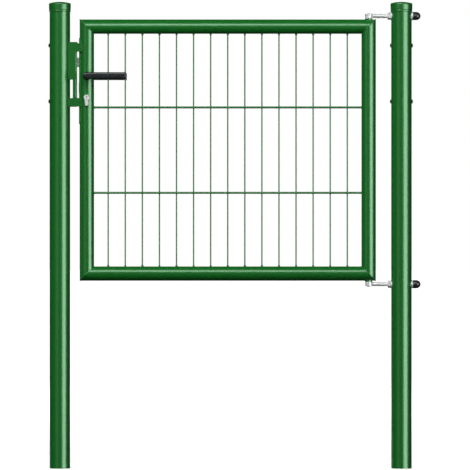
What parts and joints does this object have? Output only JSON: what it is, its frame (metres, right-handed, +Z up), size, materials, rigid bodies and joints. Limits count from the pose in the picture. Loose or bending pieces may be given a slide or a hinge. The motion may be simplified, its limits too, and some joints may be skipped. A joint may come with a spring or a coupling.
{
  "type": "single-leaf gate",
  "caption": "Garden gate of green coated tube: a welded mesh leaf with a lever lock, swinging on eyebolt hinges between two round posts with caps.",
  "frame": {"origin": "centre of the hinge post's foot, in the plane of both posts' feet", "axes": "+X along the gate from the latch post to the hinge post, +Y away from the side that the leaf's stop lugs are on, +Z up"},
  "size_m": [1.0898, 0.121, 1.3655],
  "materials": {
    "green_coat": "satin powder coat",
    "green_plastic": "satin",
    "zinc": "bright zinc plate",
    "nickel": "satin nickel plate",
    "black_plastic": "fine grain",
    "dark_steel": "dark coat"
  },
  "bodies": {
    "posts": {"latch_post": "green_coat", "hinge_post": "green_coat", "latch_post_cap": "green_plastic", "hinge_post_cap": "green_plastic", "keeper": "green_coat", "upper_keeper_bolt": "dark_steel", "upper_keeper_nut": "zinc", "lower_keeper_bolt": "dark_steel", "lower_keeper_nut": "zinc", "hinge_post_plugs": "black_plastic", "upper_eyebolt": "zinc", "upper_inner_washer": "zinc", "upper_inner_nut": "zinc", "upper_outer_washer": "zinc", "upper_outer_nut": "zinc", "upper_nut_cap": "black_plastic", "lower_eyebolt": "zinc", "lower_inner_washer": "zinc", "lower_inner_nut": "zinc", "lower_outer_washer": "zinc", "lower_outer_nut": "zinc", "lower_nut_cap": "black_plastic"},
    "leaf": {"latch_stile": "green_coat", "hinge_stile": "green_coat", "top_rail": "green_coat", "bottom_rail": "green_coat", "mesh_panel": "green_coat", "upper_hinge_pin": "green_coat", "lower_hinge_pin": "green_coat", "upper_hinge_washer": "zinc", "lower_hinge_washer": "zinc", "lock_faceplate": "green_coat", "lock_case": "zinc", "dead_bolt": "zinc", "lock_cylinder": "nickel", "front_rosette": "black_plastic", "back_rosette": "black_plastic"},
    "lever": {"front_lever": "black_plastic", "back_lever": "black_plastic", "spindle": "zinc"},
    "latch": {"latch_bolt": "zinc"}
  },
  "joints": [
    {"name": "leaf_swing", "type": "hinge", "parent": "posts", "child": "leaf", "pos_m": [-0.096, 0, 0.9315], "axis": [0, 0, -1], "range_deg": [0, 140]},
    {"name": "lever_turn", "type": "hinge", "parent": "leaf", "child": "lever", "pos_m": [-0.921, 0, 1.148], "axis": [0, 1, 0], "range_deg": [0, 40], "stiffness_Nm_per_rad": 1.2, "springref_deg": -17.19},
    {"name": "latch_draw", "type": "slide", "parent": "leaf", "child": "latch", "axis": [1, 0, 0], "range_m": [0, 0.0126]}
  ],
  "couplings": [
    {"joint": "latch_draw", "follows": "lever_turn", "m_per_rad": 0.018}
  ]
}
